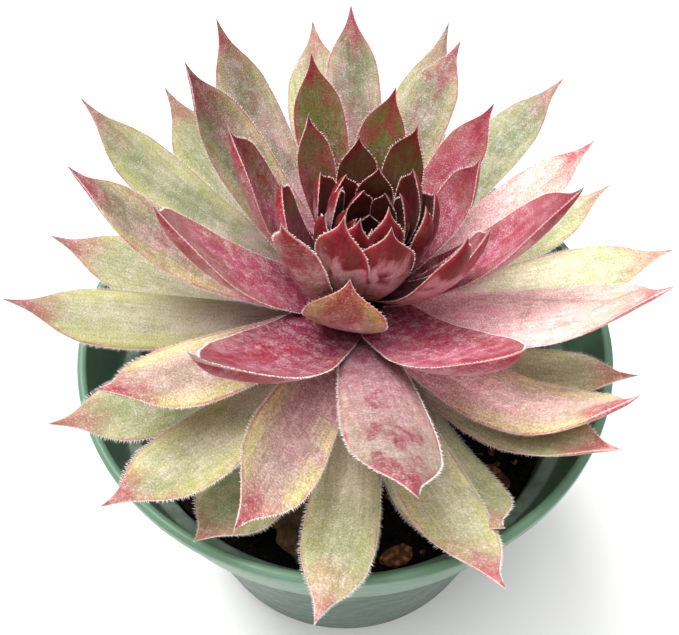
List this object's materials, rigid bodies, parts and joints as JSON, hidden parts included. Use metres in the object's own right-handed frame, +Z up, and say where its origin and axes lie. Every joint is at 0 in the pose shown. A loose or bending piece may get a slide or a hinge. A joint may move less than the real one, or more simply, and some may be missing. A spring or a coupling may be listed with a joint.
{
  "type": "potted houseleek",
  "caption": "Houseleek rosette of fleshy pointed red-tipped leaves growing in a round sage-green plastic nursery pot of dark potting mix.",
  "frame": {"origin": "centre of the flat base ring of the pot, on the surface that it stands on", "axes": "+Z up along the pot's axis, -Y towards the viewer of the picture, +X to the viewer's right"},
  "size_m": [0.1093, 0.126, 0.1299],
  "materials": {
    "pot_plastic": "satin",
    "potting_mix": "matte",
    "outer_leaf_skin": "satin",
    "middle_leaf_skin": "satin",
    "inner_leaf_skin": "satin",
    "heart_skin": "satin",
    "stem_bark": "matte",
    "dried_leaf": "matte",
    "bark": "matte"
  },
  "bodies": {
    "root": {"pot": "pot_plastic", "soil": "potting_mix", "outer_leaves": "outer_leaf_skin", "middle_leaves": "middle_leaf_skin", "inner_leaves": "inner_leaf_skin", "heart": "heart_skin", "stem": "stem_bark", "withered_leaf": "dried_leaf", "bark_chip_1": "bark", "bark_chip_2": "bark", "bark_chip_3": "bark", "bark_chip_4": "bark", "bark_chip_5": "bark", "bark_chip_6": "bark", "bark_chip_7": "bark", "bark_chip_8": "bark", "bark_chip_9": "bark"}
  },
  "joints": []
}
